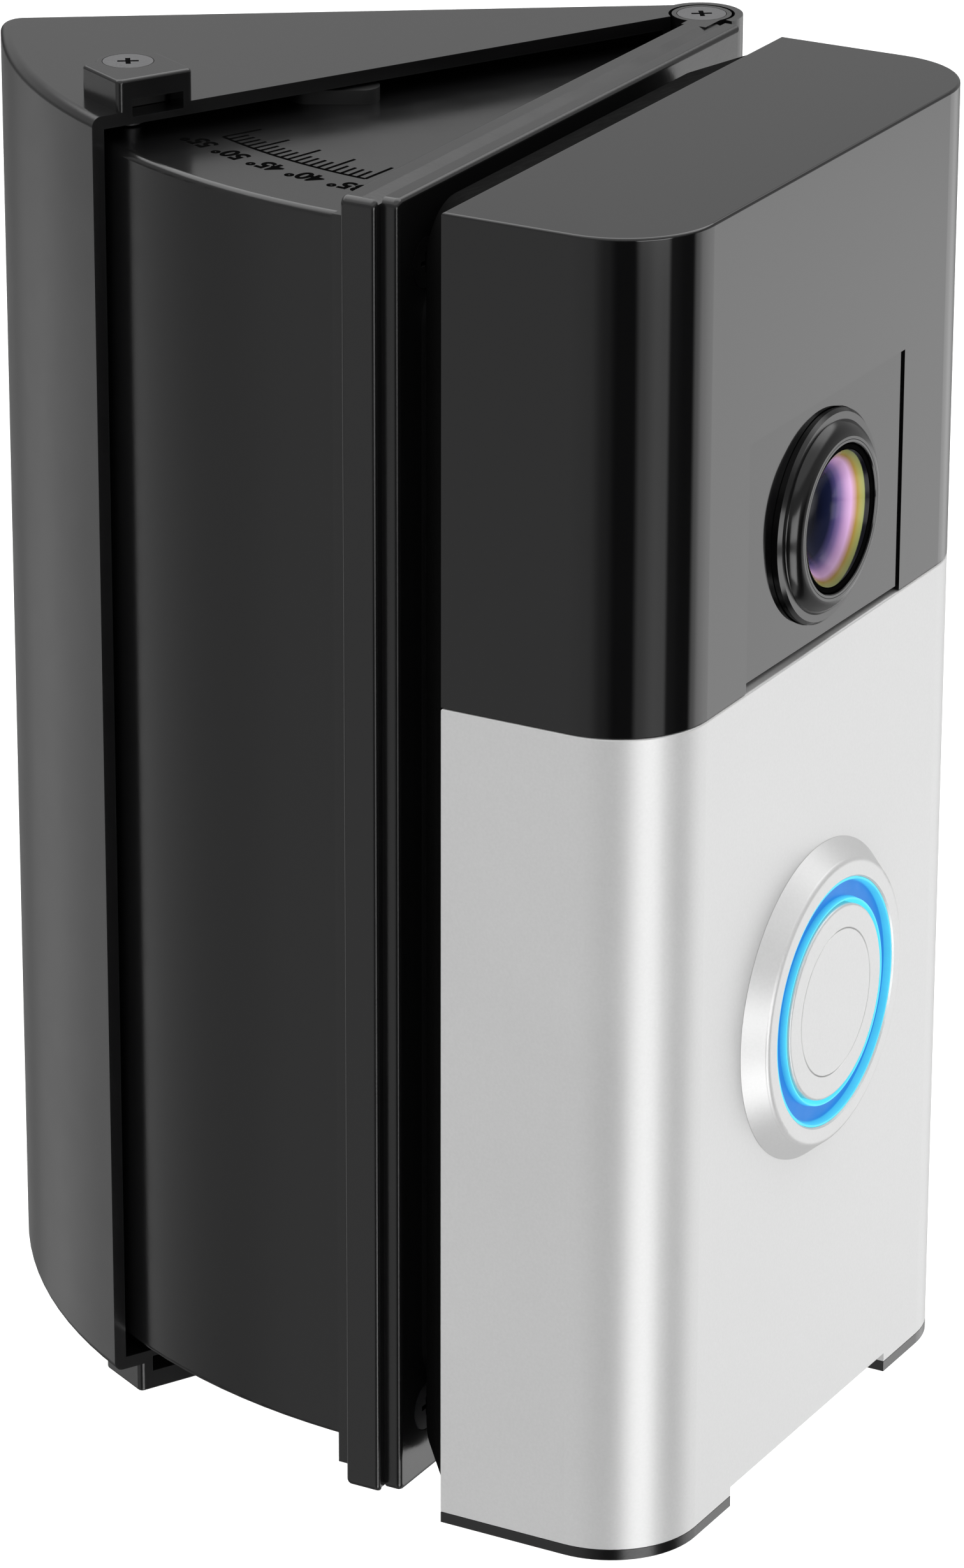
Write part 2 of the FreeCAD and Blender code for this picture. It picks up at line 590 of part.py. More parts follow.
# --- chassis and electronics --------------------------------------------------------------------
def chassis():
    """Front carrier inside the covers."""
    frame = rounded_block((4.4, 57.6), (4.0, 5.2), (3.4, 119.0), 5.0)
    frame = frame.cut(peg(15.6, *LENS_AXIS, (3, 6)))
    frame = frame.cut(peg(13.4, *BUTTON_AXIS, (3, 6)))
    seat = tube(17.2, 15.6, *LENS_AXIS, (4.0, 6.4))
    frame = frame.fuse(seat)
    frame = frame.cut(peg(11.6, 31, 17.5, (3, 6)))
    frame = frame.cut(peg(4.6, 31, 112, (3, 6)))
    return frame.removeSplitter()


def weather_gasket():
    """Seal between the chassis and the rear housing."""
    outside = rounded_block((3, 59), (5.2, 6.0), (3.4, 119.0), 5.0)
    return outside.cut(rounded_block((4.4, 57.6), (5, 7), (4.8, 117.6), 3.6))


def rear_housing():
    """Back shell: a skirt inside the covers, and a tapered back."""
    skirt = rounded_block((2.6, 59.4), (6.0, 21.4), (3.0, 119.4), 5.0)
    back = tapered_back(0.3, 5.0, 1.6)
    body = skirt.fuse(back)
    body = body.cut(rounded_block((4.2, 57.8), (5, 23.9), (4.6, 117.8), 3.6))
    for x, z in board_corners():
        pillar = tube(2.6, 0.95, x, z, (16.2, 24.2))
        body = body.fuse(pillar)
    for x in TERMINALS:
        body = body.cut(peg(1.3, x, TERMINAL_Z, (23, 26)))
    body = body.cut(block((26.8, 35.2), (23, 26), (88.8, 92.2)))
    body = body.cut(post(1.25, 31, 12, (2, 11)))
    for x in (17.0, 45.0):
        body = body.cut(block((x - 3.2, x + 3.2), (23, 26), (106.8, 110.4)))
    return body.removeSplitter()


def tapered_back(inset, side_taper, end_taper):
    """Back of the rear housing, drawn in towards the wall."""
    def outline(y, dx, dz):
        radius = 5.0
        x0, x1, z0, z1 = dx, BELL_WIDTH - dx, dz, BELL_HEIGHT - dz
        k = radius * (1 - math.sqrt(0.5))
        line, arc = Part.makeLine, lambda a, b, c: Part.Arc(a, b, c).toShape()

        def at(x, z):
            return Vector(x, y, z)

        return Part.Wire([
            line(at(x0 + radius, z0), at(x1 - radius, z0)),
            arc(at(x1 - radius, z0), at(x1 - k, z0 + k), at(x1, z0 + radius)),
            line(at(x1, z0 + radius), at(x1, z1 - radius)),
            arc(at(x1, z1 - radius), at(x1 - k, z1 - k), at(x1 - radius, z1)),
            line(at(x1 - radius, z1), at(x0 + radius, z1)),
            arc(at(x0 + radius, z1), at(x0 + k, z1 - k), at(x0, z1 - radius)),
            line(at(x0, z1 - radius), at(x0, z0 + radius)),
            arc(at(x0, z0 + radius), at(x0 + k, z0 + k), at(x0 + radius, z0)),
        ])
    return Part.makeLoft([outline(BELL_SIDE + 0.05, inset, inset), outline(25.4, side_taper, end_taper)],
                         True, True)


def board_corners():
    """Screw places of the main board."""
    return [(x, z) for x in (8.5, 53.5) for z in (9.0, 113.0)]


def main_board():
    """Main circuit board."""
    board = rounded_block((5, 57), (15.0, 16.2), (5.5, 116.5), 3.0)
    for x, z in board_corners():
        board = board.cut(peg(1.3, x, z, (14, 17)))
    return board


def board_parts():
    """Screening can, radio can, connectors and capacitors on the main board."""
    parts = [
        rounded_block((11, 27), (12.9, 15.0), (58, 72), 0.6),
        rounded_block((34, 51), (13.3, 15.0), (57, 69), 0.6),
        block((12, 22), (13.0, 15.0), (100, 105)),
        block((40, 52), (13.0, 15.0), (22, 27)),
    ]
    parts += [peg(2.4, x, 30.0, (10.5, 15.0)) for x in (10.5, 16.5)]
    parts += [block((x, x + 2), (14.2, 15.0), (z, z + 1.2)) for x in (38, 42, 46) for z in (98, 101, 104)]
    return parts


def board_screws():
    """Screws that hold the main board to the rear housing's pillars."""
    screw = pan_screw(2.1, 1.3, 0.9, 6.0)
    return [drive(screw, (x, 15.0, z), (0, -1, 0)) for x, z in board_corners()]


def battery():
    """Flat rechargeable cell behind the main board."""
    return rounded_block((10, 52), (16.6, 22.6), (46, 106), 2.0)


def speaker():
    """Round loudspeaker behind the lower faceplate."""
    return turned([(0, 11.2), (8.0, 11.2), (8.0, 9.2), (11.4, 8.0), (11.4, 5.0), (9.8, 5.0), (9.0, 6.0),
                   ((5.0, 6.6), (3.0, 5.6)), ((1.6, 5.1), (0.2, 5.0)), (0, 5.0)], (31.0, 17.5))


def microphone():
    """Small microphone capsule."""
    return peg(2.0, 47.0, 66.0, (2.4, 3.9))


def motion_sensor():
    """Heat sensor behind the dark cover, above the camera."""
    return turned([(0, 2.3), (3.4, 2.3), (3.4, 5.6), (4.4, 5.6), (4.4, 6.4), (0, 6.4)], (31.0, 112.0))


def terminal_screws():
    """The two screws that the chime wires fasten to."""
    screw = pan_screw(2.5, 1.3, M25_SHANK, 2.6)
    return [drive(screw, (x, 25.4, TERMINAL_Z), (0, 1, 0)) for x in TERMINALS]


def terminal_block():
    """Threaded brass strips under the terminal screws."""
    strips = []
    for x in TERMINALS:
        strip = block((x - 3.5, x + 3.5), (22.7, 23.9), (TERMINAL_Z - 3.5, TERMINAL_Z + 3.5))
        strips.append(strip.cut(peg(M25_SHANK + FIT / 2, x, TERMINAL_Z, (22, 25))))
    return strips


def charge_port():
    """Charging socket in the rear housing."""
    shell = rounded_block((27, 35), (22.7, 25.3), (89, 92), 0.7)
    shell = shell.cut(block((27.5, 34.5), (23.4, 26), (89.5, 91.5)))
    return shell.fuse(block((28.4, 33.6), (23.2, 24.9), (90.2, 90.8)))


def mounting_bracket():
    """Bracket between the rear housing and the doorbell plate, with two hooks."""
    bracket = rounded_block((7, 55), (25.4, BELL_BACK), (8, 114), 5.0)
    bracket = bracket.cut(rounded_block((16, 46), (25, 28), (28, 98), 4.0))
    for place in bracket_screw_places():
        bracket = bracket.cut(drive(countersink(M25_HEAD, M25_SHANK, 3.0), place, (0, -1, 0)))
    for x in (17.0, 45.0):
        bracket = bracket.fuse([block((x - 3, x + 3), (24.0, 25.4), (107.0, 108.4)),
                                block((x - 3, x + 3), (24.0, 24.6), (107.0, 110.2))])
    return bracket.removeSplitter()


def bracket_screws():
    """Screws from the bracket into the doorbell plate."""
    screw = countersunk_screw(M25_HEAD, M25_SHANK, 3.1)
    return [drive(screw, place, (0, -1, 0)) for place in bracket_screw_places()]


# --- nodes --------------------------------------------------------------------------------------
WALL_NODES = {
    "wall_housing": wall_housing,
    "lock_screws": lock_screws,
    "lock_nuts": lock_nuts,
    "hinge_screws": hinge_screws,
}
PLATE_NODES = {
    "swing_housing": swing_housing,
    "glide_pads": glide_pads,
    "doorbell_plate": doorbell_plate,
    "plate_screws": plate_screws,
}
BELL_NODES = {
    "mounting_bracket": mounting_bracket,
    "bracket_screws": bracket_screws,
    "rear_housing": rear_housing,
    "upper_cover": upper_cover,
    "faceplate": faceplate,
    "bottom_trim": bottom_trim,
    "security_screw": security_screw,
    "lens_bezel": lens_bezel,
    "lens_trim_ring": lens_trim_ring,
    "lens_barrel": lens_barrel,
    "front_lens": front_lens,
    "rear_lens": rear_lens,
    "image_sensor_board": image_sensor_board,
    "camera_flex": camera_flex,
    "ir_leds": ir_leds,
    "ir_led_board": ir_led_board,
    "button_bezel": button_bezel,
    "light_ring": light_ring,
    "button_cap": button_cap,
    "button_guide": button_guide,
    "return_pad": return_pad,
    "ring_lamps": ring_lamps,
    "press_switch": press_switch,
    "chassis": chassis,
    "weather_gasket": weather_gasket,
    "main_board": main_board,
    "board_parts": board_parts,
    "board_screws": board_screws,
    "battery": battery,
    "speaker": speaker,
    "microphone": microphone,
    "motion_sensor": motion_sensor,
    "terminal_screws": terminal_screws,
    "terminal_block": terminal_block,
    "charge_port": charge_port,
}


def export(nodes, place):
    """Writes one STEP file per node."""
    for name, make in nodes.items():
        made = make()
        solids = [solid for piece in (made if isinstance(made, list) else [made]) for solid in piece.Solids]
        placed = [place(solid) for solid in solids]
        shape = placed[0] if len(placed) == 1 else Part.makeCompound(placed)
        shape.exportStep("parts/" + name + ".step")
        print(name, len(placed), "valid" if shape.isValid() else "INVALID", round(shape.Volume, 1))


os.makedirs("parts", exist_ok=True)
export(WALL_NODES, lambda shape: shape)
export(PLATE_NODES, from_plate)
export(BELL_NODES, from_bell)
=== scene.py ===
"""Looks for a video doorbell on an adjustable angle mount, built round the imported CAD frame."""
import json
import math

import bmesh
import bpy
from mathutils import Matrix, Vector


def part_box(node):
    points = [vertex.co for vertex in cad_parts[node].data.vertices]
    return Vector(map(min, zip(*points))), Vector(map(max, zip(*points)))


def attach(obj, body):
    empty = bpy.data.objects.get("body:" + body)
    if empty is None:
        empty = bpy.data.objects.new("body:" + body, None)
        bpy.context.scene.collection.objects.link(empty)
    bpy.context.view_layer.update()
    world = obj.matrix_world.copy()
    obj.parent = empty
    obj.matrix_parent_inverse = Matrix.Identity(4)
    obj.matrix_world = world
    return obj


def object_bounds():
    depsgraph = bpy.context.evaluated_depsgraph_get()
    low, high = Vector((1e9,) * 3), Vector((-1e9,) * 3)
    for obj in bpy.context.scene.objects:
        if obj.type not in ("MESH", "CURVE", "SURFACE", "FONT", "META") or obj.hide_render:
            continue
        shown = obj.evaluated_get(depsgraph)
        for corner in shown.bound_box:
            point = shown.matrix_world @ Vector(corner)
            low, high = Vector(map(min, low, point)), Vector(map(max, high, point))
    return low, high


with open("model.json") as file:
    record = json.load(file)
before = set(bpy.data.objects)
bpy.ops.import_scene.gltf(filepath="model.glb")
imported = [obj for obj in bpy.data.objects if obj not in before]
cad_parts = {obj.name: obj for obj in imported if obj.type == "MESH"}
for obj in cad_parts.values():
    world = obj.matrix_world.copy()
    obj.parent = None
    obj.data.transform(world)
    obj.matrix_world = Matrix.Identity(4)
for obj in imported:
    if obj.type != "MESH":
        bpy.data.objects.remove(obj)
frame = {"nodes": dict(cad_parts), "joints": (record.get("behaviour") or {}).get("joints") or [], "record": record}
cad_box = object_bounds()
nodes = frame["nodes"]

MM = 0.001

# --- places read from the frame -----------------------------------------------------------------
joints = {joint["name"]: joint for joint in frame["joints"]}
HINGE = Vector(joints["angle_hinge"]["pos_m"])
INWARD = Vector(joints["button_press"]["axis"]).normalized()   # from the doorbell's front to its back
UP = Vector((0, 0, 1))
SIDEWAYS = INWARD.cross(UP)                                    # along the doorbell's front, to the hinge


def middle(node):
    """Centre of a CAD node's box."""
    low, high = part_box(node)
    return (Vector(low) + Vector(high)) / 2


# --- shading helpers ----------------------------------------------------------------------------
class Shading:
    """A node tree and a few short ways to fill it."""

    def __init__(self, tree):
        self.tree = tree

    def node(self, kind, settings=(), **inputs):
        """Makes a node. Inputs go by name, or by number as i0, i1 and so on."""
        made = self.tree.nodes.new(kind)
        for name, value in dict(settings).items():
            setattr(made, name, value)
        for name, value in inputs.items():
            numbered = name[0] == "i" and name[1:].isdigit()
            socket = made.inputs[int(name[1:]) if numbered else name.replace("_", " ")]
            if isinstance(value, bpy.types.NodeSocket):
                self.tree.links.new(value, socket)
            else:
                socket.default_value = value
        return made

    def math(self, operation, a, b=0.0):
        return self.node("ShaderNodeMath", {"operation": operation}, i0=a, i1=b).outputs[0]

    def vector(self, operation, a, b=(0, 0, 0)):
        return self.node("ShaderNodeVectorMath", {"operation": operation}, i0=a, i1=b)

    def remap(self, value, low, high, out_low=0.0, out_high=1.0, smooth=False):
        shape = {"interpolation_type": "SMOOTHSTEP" if smooth else "LINEAR"}
        made = self.node("ShaderNodeMapRange", shape, Value=value, From_Min=low, From_Max=high,
                         To_Min=out_low, To_Max=out_high)
        return made.outputs["Result"]

    def window(self, value, low, high, soft):
        """1 between low and high, falling to 0 over the soft distance outside."""
        rise = self.remap(value, low - soft, low, 0.0, 1.0, smooth=True)
        fall = self.remap(value, high, high + soft, 1.0, 0.0, smooth=True)
        return self.math("MULTIPLY", rise, fall)

    def blend(self, factor, a, b):
        """Colour a where the factor is 0, colour b where it is 1."""
        return self.node("ShaderNodeMix", {"data_type": "RGBA"}, i0=factor, i6=a, i7=b).outputs[2]

    def ramp(self, value, stops, interpolation="LINEAR"):
        made = self.node("ShaderNodeValToRGB", i0=value)
        made.color_ramp.interpolation = interpolation
        elements = made.color_ramp.elements
        while len(elements) < len(stops):
            elements.new(0.5)
        for element, (position, color) in zip(elements, stops):
            element.position = position
            element.color = (*color[:3], 1.0)
        return made.outputs["Color"]


class Surface(Shading):
    """A principled material whose values vary over the surface."""

    def __init__(self, name, **constants):
        self.material = bpy.data.materials.new(name)
        self.material.use_nodes = True
        super().__init__(self.material.node_tree)
        self.shader = self.tree.nodes["Principled BSDF"]
        for socket, value in constants.items():
            self.shader.inputs[socket.replace("_", " ")].default_value = value
        self.place = self.tree.nodes.new("ShaderNodeTexCoord").outputs["Object"]

    def link(self, output, socket):
        self.tree.links.new(output, self.shader.inputs[socket])

    def noise(self, size, detail=3.0, place=None):
        """Noise from 0 to 1 whose blotches are about this size in metres."""
        made = self.node("ShaderNodeTexNoise", Vector=place or self.place, Scale=1 / size, Detail=detail)
        return made.outputs["Fac"]

    def bump(self, height, depth):
        self.link(self.node("ShaderNodeBump", Height=height, Distance=depth).outputs["Normal"], "Normal")

    def edges(self, radius):
        """1 along sharp edges, 0 away from them."""
        rounded = self.node("ShaderNodeBevel", {"samples": 4}, Radius=radius).outputs["Normal"]
        flat = self.tree.nodes.new("ShaderNodeNewGeometry").outputs["Normal"]
        along = self.vector("DOT_PRODUCT", rounded, flat).outputs["Value"]
        return self.remap(along, 0.995, 0.8)

    def from_axis(self, point):
        """Distance from the doorbell-front axis through a point."""
        offset = self.vector("SUBTRACT", self.place, tuple(point)).outputs["Vector"]
        across = self.vector("CROSS_PRODUCT", offset, tuple(INWARD)).outputs["Vector"]
        return self.vector("LENGTH", across).outputs["Value"]


def grey(value, tint=0.0):
    return (value, value, value * (1 + tint), 1.0)


# --- materials ----------------------------------------------------------------------------------
def moulded(name, value, roughness, grain=0.35 * MM, depth=0.004 * MM, painted_edge_highlight=0.0, tint=0.03):
    """Moulded plastic: fine grain, slight patches of sheen, and a painted highlight lightening the edges."""
    s = Surface(name)
    patches = s.noise(30 * MM, 2)
    handled = s.noise(4 * MM, 5)
    dull, lively = grey(value * 0.94, tint), grey(value * 1.06, tint)
    base = s.blend(patches, dull, lively)
    # painted highlight: sharp edges lightened towards three times the plastic's value
    if painted_edge_highlight:
        base = s.blend(s.math("MULTIPLY", s.edges(0.25 * MM), painted_edge_highlight), base, grey(value * 3, tint))
    s.link(base, "Base Color")
    sheen = s.remap(handled, 0.3, 0.7, -0.02, 0.02)
    dulling = s.remap(patches, 0.3, 0.7, roughness - 0.015, roughness + 0.015)
    s.link(s.math("ADD", sheen, dulling), "Roughness")
    s.bump(s.noise(grain, 2), depth)
    return s.material


def gloss_black(name, roughness, specular):
    """Piano-black plastic: a deep clear surface with faint moulding waves."""
    s = Surface(name, IOR=1.5, Specular_IOR_Level=specular)
    haze = s.noise(22 * MM, 5)
    s.link(s.blend(haze, grey(0.0015), grey(0.0025, 0.1)), "Base Color")
    s.link(s.remap(haze, 0.3, 0.75, roughness, roughness + 0.04), "Roughness")
    s.bump(s.noise(9 * MM, 2), 0.0015 * MM)
    return s.material


def satin_silver(name, value):
    """Silver paint: fine flakes under a satin lacquer."""
    s = Surface(name, Metallic=0.4)
    flakes = s.noise(0.25 * MM, 2)
    clouds = s.noise(18 * MM, 3)
    mixed = s.math("ADD", s.remap(flakes, 0.3, 0.7, 0, 0.6), s.remap(clouds, 0.3, 0.7, 0, 0.4))
    s.link(s.blend(mixed, grey(value * 0.96), grey(value * 1.04)), "Base Color")
    satin = s.remap(clouds, 0.3, 0.7, 0.39, 0.42)
    sparkle = s.remap(flakes, 0.3, 0.7, -0.02, 0.02)
    s.link(s.math("ADD", satin, sparkle), "Roughness")
    s.bump(flakes, 0.0015 * MM)
    return s.material


def bare_metal(name, color, roughness, scratch=0.3 * MM):
    """Stamped or turned metal with fine scratches and a little tarnish."""
    s = Surface(name, Metallic=1.0)
    stretched = s.node("ShaderNodeMapping", Vector=s.place, Scale=(1.0, 1.0, 9.0)).outputs[0]
    lines = s.noise(scratch, 3, stretched)
    tarnish = s.noise(2.5 * MM, 4)
    dull = tuple(channel * 0.8 for channel in color)
    s.link(s.blend(s.remap(tarnish, 0.35, 0.7), (*color, 1.0), (*dull, 1.0)), "Base Color")
    s.link(s.math("ADD", s.remap(lines, 0.3, 0.7, -0.05, 0.05),
                  s.remap(tarnish, 0.3, 0.7, roughness, roughness + 0.08)), "Roughness")
    s.bump(lines, 0.002 * MM)
    return s.material


def circuit_board():
    """Green solder mask over copper tracks."""
    s = Surface("board_green", Roughness=0.35)
    bricks = s.node("ShaderNodeTexBrick", Vector=s.place, Scale=1 / (9 * MM), Mortar_Size=0.012)
    tracks = bricks.outputs["Fac"]
    mask = s.blend(s.noise(4 * MM, 3), (0.012, 0.11, 0.05, 1), (0.02, 0.16, 0.08, 1))
    s.link(s.blend(tracks, mask, (0.06, 0.28, 0.12, 1)), "Base Color")
    s.bump(tracks, 0.02 * MM)
    return s.material


def coated_glass(lens):
    """Dark glass with the coating's coloured reflection painted as purple, pink and gold rings, darkened above and
    below the centre by painted shade.
    """
    s = Surface("lens_glass", Specular_IOR_Level=0.12)
    centre = middle(lens)
    away = s.remap(s.from_axis(centre), 0.0, 8 * MM)
    height = s.node("ShaderNodeSeparateXYZ", i0=s.place).outputs["Z"]
    aside = s.math("ABSOLUTE", s.math("SUBTRACT", height, centre.z))
    dark = (0.004, 0.004, 0.007)
    # painted reflection: the coated lens's purple, pink and gold reflex as rings by distance from the axis
    coating_reflection_rings = [(0.0, (0.002, 0.002, 0.004)), (0.30, (0.003, 0.004, 0.010)), (0.48, (0.006, 0.009, 0.035)),
             (0.53, (0.06, 0.05, 0.16)), (0.57, (0.24, 0.16, 0.38)), (0.61, (0.60, 0.36, 0.66)),
             (0.65, (0.84, 0.52, 0.84)), (0.675, (0.66, 0.38, 0.42)), (0.70, (0.46, 0.29, 0.06)),
             (0.725, (0.42, 0.38, 0.10)), (0.758, (0.34, 0.38, 0.14)), (0.765, dark), (1.0, dark)]
    # painted shade: the rings fade to dark with height above and below the lens centre
    rings_with_painted_shade = s.blend(s.remap(aside, 1 * MM, 6 * MM, 0.0, 0.6, smooth=True), s.ramp(away, coating_reflection_rings), (*dark, 1.0))
    s.link(rings_with_painted_shade, "Base Color")
    s.link(s.remap(s.noise(3 * MM, 4), 0.3, 0.7, 0.12, 0.2), "Roughness")
    return s.material


def glowing_ring(ring):
    """Clear channel lit from behind: deep blue floor between bright cyan lips."""
    s = Surface("light_blue", Specular_IOR_Level=0.08)
    away = s.remap(s.from_axis(middle(ring)), 9.2 * MM, 11.6 * MM)
    lip, floor = (0.10, 0.78, 1.0), (0.010, 0.20, 0.66)
    glow = s.ramp(away, [(0.0, lip), (0.11, lip), (0.18, floor), (0.72, floor), (0.88, lip), (1.0, lip)])
    s.link(s.blend(0.9, glow, grey(0.02)), "Base Color")
    s.link(glow, "Emission Color")
    s.link(s.remap(s.noise(3 * MM, 2), 0.3, 0.7, 0.92, 1.0), "Emission Strength")
    s.link(s.remap(s.noise(2 * MM, 3), 0.3, 0.7, 0.35, 0.45), "Roughness")
    return s.material


def make_materials():
    """One material for each slot of the record."""
    return {
        "mount_black": moulded("mount_black", 0.0045, 0.20, painted_edge_highlight=0.4),
        "housing_black": moulded("housing_black", 0.004, 0.22, painted_edge_highlight=0.3),
        "inner_plastic": moulded("inner_plastic", 0.05, 0.5),
        "nylon_grey": moulded("nylon_grey", 0.006, 0.5),
        "silicone": moulded("silicone", 0.05, 0.6, grain=0.5 * MM),
        "cover_gloss": gloss_black("cover_gloss", 0.04, 0.5),
        "faceplate_satin": satin_silver("faceplate_satin", 0.56),
        "button_face": satin_silver("button_face", 0.56),
        "screw_steel": bare_metal("screw_steel", (0.60, 0.60, 0.59), 0.28),
        "screw_black": bare_metal("screw_black", (0.16, 0.16, 0.165), 0.3),
        "can_steel": bare_metal("can_steel", (0.66, 0.66, 0.67), 0.35),
        "brass_strip": bare_metal("brass_strip", (0.75, 0.58, 0.28), 0.3),
        "board_green": circuit_board(),
        "flex_amber": moulded("flex_amber", 0.3, 0.35, tint=-0.7),
        "battery_wrap": moulded("battery_wrap", 0.12, 0.3, tint=1.2),
        "lamp_resin": moulded("lamp_resin", 0.75, 0.2),
        "lens_glass": coated_glass("front_lens"),
        "light_blue": glowing_ring("light_ring"),
    }


def matt_black(name, specular=0.0):
    """Matt black, for engraved lines, the lens barrel and the rear housing."""
    s = Surface(name, Specular_IOR_Level=specular)
    s.link(s.blend(s.noise(0.4 * MM, 3), grey(0.0015), grey(0.003)), "Base Color")
    s.link(s.remap(s.noise(1 * MM, 3), 0.3, 0.7, 0.7, 0.85), "Roughness")
    return s.material


def make_node_materials():
    """Materials of single nodes, in place of their slot's."""
    return {
        "lens_barrel": matt_black("barrel_matt"),
        "lens_bezel": gloss_black("collar_gloss", 0.16, 0.4),
        "lens_trim_ring": gloss_black("trim_gloss", 0.12, 0.4),
        # painted shade: the lock nuts are near-black so their pockets read as dark shade
        "lock_nuts": moulded("lock_nut_black", 0.004, 0.4),
        "rear_housing": matt_black("rear_housing_matt", 0.02),
    }


# --- angle scale on the swinging housing --------------------------------------------------------
SCALE_TOP = 57.9          # the housing's top, above the middle of the mount
SCALE_LIFT = 0.02
SCALE_FIRST = 5.7         # turn of the first mark from the plate, in degrees
SCALE_STEP = 0.975        # turn from one mark to the next
SCALE_MARKS = 21          # every fifth mark is long and numbered
SCALE_LOWEST = 35         # number at the first mark
SCALE_ARC = 52.5          # radius of the line that the marks stand on
LONG_MARK = 4.0
SHORT_MARK = 2.1
LINE_WIDTH = 0.3
LABEL_RADIUS = 54.9
LABEL_SIZE = 2.6


def polar(turn_degrees):
    """Outward and onward directions on the scale at a turn from the plate."""
    turn = math.radians(turn_degrees)
    outward = -math.cos(turn) * SIDEWAYS + math.sin(turn) * INWARD
    onward = math.sin(turn) * SIDEWAYS + math.cos(turn) * INWARD
    return outward, onward


def scale_point(radius, turn_degrees):
    outward, _ = polar(turn_degrees)
    centre = Vector((HINGE.x, HINGE.y, (SCALE_TOP + SCALE_LIFT) * MM))
    return centre + outward * radius * MM


def add_strip(shape, points, across):
    """Flat strip along points, with the half width given as a vector for each point."""
    left = [shape.verts.new(point - half) for point, half in zip(points, across)]
    right = [shape.verts.new(point + half) for point, half in zip(points, across)]
    for step in range(len(points) - 1):
        shape.faces.new((left[step], right[step], right[step + 1], left[step + 1]))


def make_scale_lines():
    """Degree marks and the arc they stand on, as one flat mesh."""
    shape = bmesh.new()
    half = LINE_WIDTH / 2 * MM
    for mark in range(SCALE_MARKS):
        turn = SCALE_FIRST + mark * SCALE_STEP
        length = LONG_MARK if mark % 5 == 0 else SHORT_MARK
        ends = [scale_point(SCALE_ARC - length, turn), scale_point(SCALE_ARC, turn)]
        _, onward = polar(turn)
        add_strip(shape, ends, [onward * half] * 2)
    turns = [SCALE_FIRST + step * SCALE_STEP / 2 for step in range(2 * SCALE_MARKS - 1)]
    arc = [scale_point(SCALE_ARC, turn) for turn in turns]
    add_strip(shape, arc, [polar(turn)[0] * half for turn in turns])
    bmesh.ops.recalc_face_normals(shape, faces=shape.faces)
    mesh = bpy.data.meshes.new("angle_scale_lines")
    shape.to_mesh(mesh)
    shape.free()
    piece = bpy.data.objects.new("angle_scale_lines", mesh)
    bpy.context.scene.collection.objects.link(piece)
    return piece


def make_label(degrees, turn):
    """One number of the scale, read from the hinge side."""
    curve = bpy.data.curves.new("label_%d" % degrees, "FONT")
    curve.body = "%d°" % degrees
    curve.size = LABEL_SIZE * MM
    curve.offset = 0.09 * MM
    curve.align_x = "CENTER"
    curve.align_y = "CENTER"
    drawn = bpy.data.objects.new("label_text", curve)
    bpy.context.scene.collection.objects.link(drawn)
    bpy.context.view_layer.update()
    evaluated = drawn.evaluated_get(bpy.context.evaluated_depsgraph_get())
    mesh = bpy.data.meshes.new_from_object(evaluated)
    bpy.data.objects.remove(drawn)
    outward, onward = polar(turn)
    turned = Matrix((onward, outward, UP)).transposed().to_4x4()
    mesh.transform(Matrix.Translation(scale_point(LABEL_RADIUS, turn)) @ turned)
    piece = bpy.data.objects.new("angle_label_%d" % degrees, mesh)
    bpy.context.scene.collection.objects.link(piece)
    return piece


def make_scale(material):
    pieces = [make_scale_lines()]
    for mark in range(0, SCALE_MARKS, 5):
        pieces.append(make_label(SCALE_LOWEST + mark, SCALE_FIRST + mark * SCALE_STEP))
    for piece in pieces:
        piece.data.materials.clear()
        piece.data.materials.append(material)
        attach(piece, "swing_plate")


# --- studio -------------------------------------------------------------------------------------
CAMERA_AT = Vector((-0.04174, -0.62525, 0.23438))
CAMERA_AZIMUTH = math.radians(85.237)      # from +X towards +Y
CAMERA_FALL = math.radians(21.765)         # below the horizon
CAMERA_ROLL = 0.0028
CAMERA_LENS = 161.92
FLOOR_DROP = 0.12                          # floor below the doorbell's foot

# compass of the low panels that the upright faces mirror: degrees from +X towards +Y, and brightness
STUDIO_RING = [(-180, 0.52), (-169, 0.68), (-153, 0.80), (-133, 0.74), (-114, 0.30), (-100, 0.05),
               (-82, 0.05), (-73, 0.95), (-55, 1.50), (-44, 1.40), (-38, 0.15), (-20, 0.05),
               (-10, 0.05), (-2, 1.4), (8, 2.4), (40, 2.2), (70, 0.5), (108, 0.26), (119, 0.58),
               (128, 0.85), (150, 1.0), (160, 0.60), (170, 0.48), (180, 0.52)]
RING_TOP_LEVEL = 4.0
OVERHEAD = 0.62           # just above the horizon
BACK_BOX = 3.0            # large panel above and behind
FRONT_BOX = 1.0           # overhead light on the camera's side
STRIP = 4.6               # upright strip light beside the camera
STRIP_AZIMUTH = (-77, -44)


def make_camera():
    data = bpy.data.cameras.new("photo_camera")
    data.lens = CAMERA_LENS
    data.clip_start, data.clip_end = 0.01, 20.0
    camera = bpy.data.objects.new("photo_camera", data)
    bpy.context.scene.collection.objects.link(camera)
    ahead = Vector((math.cos(CAMERA_AZIMUTH) * math.cos(CAMERA_FALL),
                    math.sin(CAMERA_AZIMUTH) * math.cos(CAMERA_FALL), -math.sin(CAMERA_FALL)))
    turn = ahead.to_track_quat("-Z", "Y").to_matrix().to_4x4()
    camera.matrix_world = Matrix.Translation(CAMERA_AT) @ turn @ Matrix.Rotation(CAMERA_ROLL, 4, "Z")
    bpy.context.scene.camera = camera


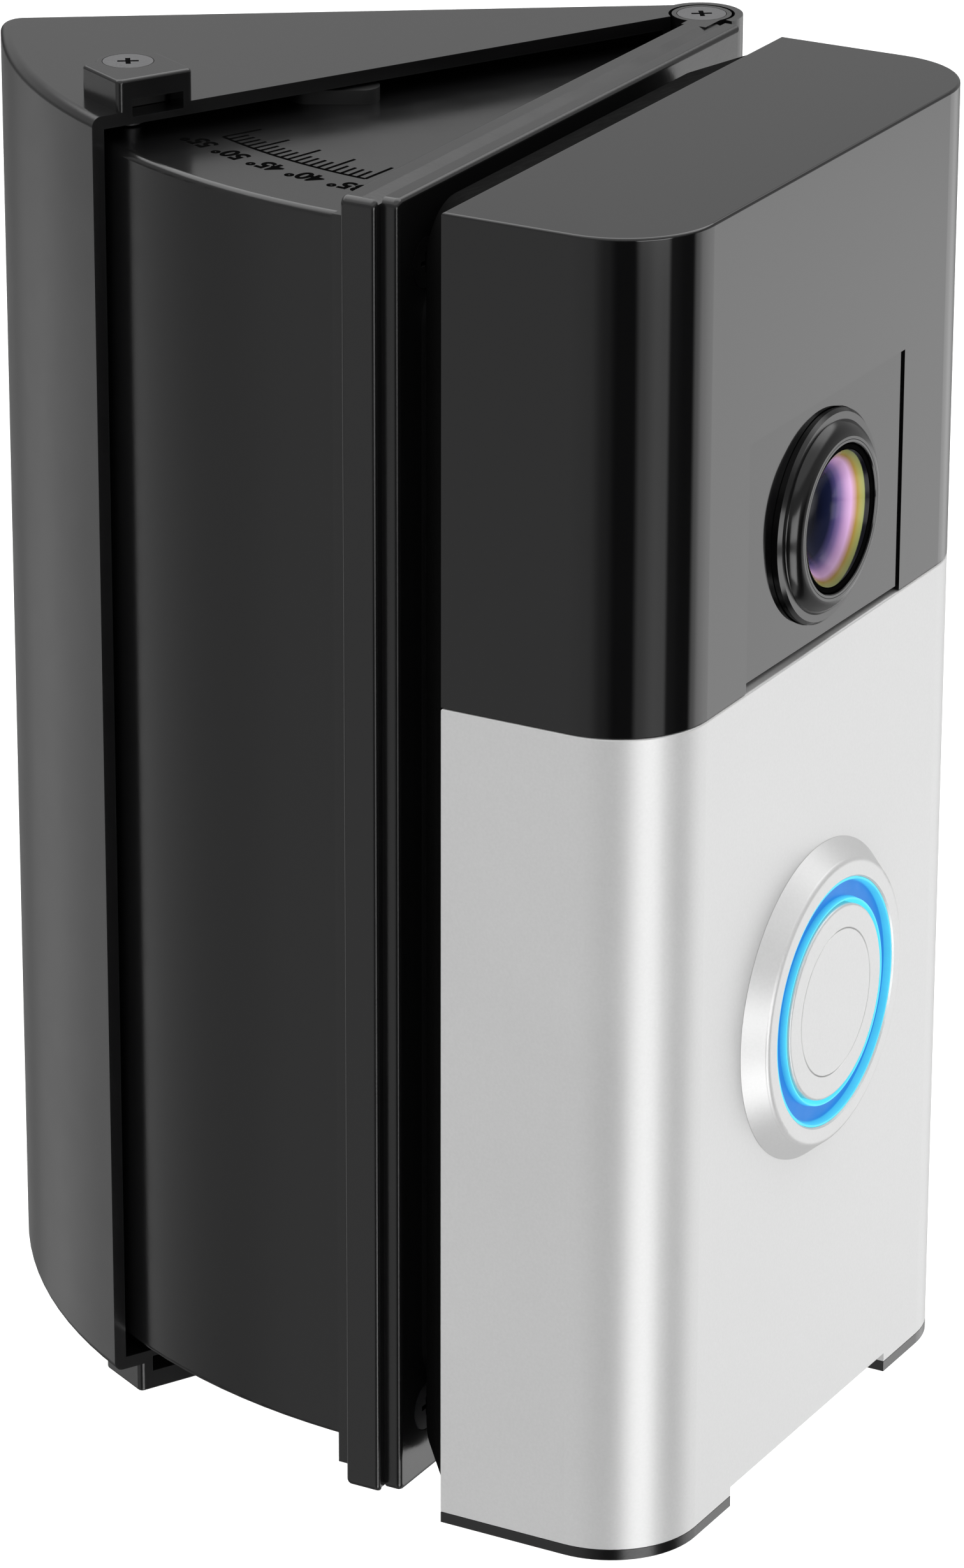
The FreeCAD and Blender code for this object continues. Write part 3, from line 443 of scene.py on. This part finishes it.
def make_floor():
    shape = bmesh.new()
    bmesh.ops.create_grid(shape, x_segments=2, y_segments=2, size=3.0)
    mesh = bpy.data.meshes.new("studio_floor")
    shape.to_mesh(mesh)
    shape.free()
    floor = bpy.data.objects.new("studio_floor", mesh)
    bpy.context.scene.collection.objects.link(floor)
    floor.location.z = cad_box[0][2] - FLOOR_DROP
    s = Surface("studio_floor", Roughness=0.9)
    s.link(s.blend(s.noise(0.4, 2), grey(0.9), grey(0.92)), "Base Color")
    mesh.materials.append(s.material)
    floor.visible_glossy = False


def make_world():
    """White backdrop, a ring of soft low panels, light from above and an upright strip."""
    world = bpy.data.worlds.new("studio")
    bpy.context.scene.world = world
    world.use_nodes = True
    world.node_tree.nodes.clear()
    sky = Shading(world.node_tree)
    towards = sky.node("ShaderNodeTexCoord").outputs["Generated"]
    parts = sky.node("ShaderNodeSeparateXYZ", i0=towards).outputs
    height = parts["Z"]
    compass = sky.math("DEGREES", sky.math("ARCTAN2", parts["Y"], parts["X"]))
    stops = [((degrees + 180) / 360, (level / RING_TOP_LEVEL,) * 3) for degrees, level in STUDIO_RING]
    ring_color = sky.ramp(sky.remap(compass, -180, 180), stops, "EASE")
    ring = sky.math("MULTIPLY", sky.node("ShaderNodeRGBToBW", i0=ring_color).outputs[0], RING_TOP_LEVEL)
    slim = sky.math("MAXIMUM", sky.remap(compass, -10, -2, 1.0, 0.0), sky.window(height, -0.43, -0.31, 0.15))
    ring = sky.math("MULTIPLY", ring, sky.remap(slim, 0.0, 1.0, 0.3, 1.0))
    behind = sky.remap(parts["Y"], -0.15, 0.2, FRONT_BOX, BACK_BOX, smooth=True)
    high = sky.remap(height, 0.46, 0.62, 0.0, 1.0, smooth=True)
    overhead = sky.math("ADD", sky.math("MULTIPLY", high, behind), OVERHEAD)
    above = sky.remap(height, -0.15, 0.15, 0.0, 1.0, smooth=True)
    level = sky.math("ADD", sky.math("MULTIPLY", ring, sky.math("SUBTRACT", 1.0, above)),
                     sky.math("MULTIPLY", overhead, above))
    tall = sky.math("ADD", sky.window(height, -0.26, 0.10, 0.04), sky.window(height, -0.80, -0.46, 0.04))
    strip = sky.math("MULTIPLY", sky.window(compass, *STRIP_AZIMUTH, 6), tall)
    level = sky.math("ADD", level, sky.math("MULTIPLY", strip, STRIP))
    studio = sky.node("ShaderNodeBackground", Strength=level)
    backdrop = sky.node("ShaderNodeBackground", Color=(1, 1, 1, 1))
    rays = sky.node("ShaderNodeLightPath").outputs["Is Camera Ray"]
    mixed = sky.node("ShaderNodeMixShader", i0=rays, i1=studio.outputs[0], i2=backdrop.outputs[0])
    sky.node("ShaderNodeOutputWorld", i0=mixed.outputs[0])


# --- the scene ----------------------------------------------------------------------------------
materials = make_materials()
for subpart in frame["record"]["subparts"]:
    nodes[subpart["node"]].data.materials[0] = materials[subpart["material_slot"]]
for node, material in make_node_materials().items():
    nodes[node].data.materials[0] = material
make_scale(matt_black("engraving"))
make_camera()
make_floor()
make_world()
bpy.context.scene.view_settings.view_transform = "Standard"
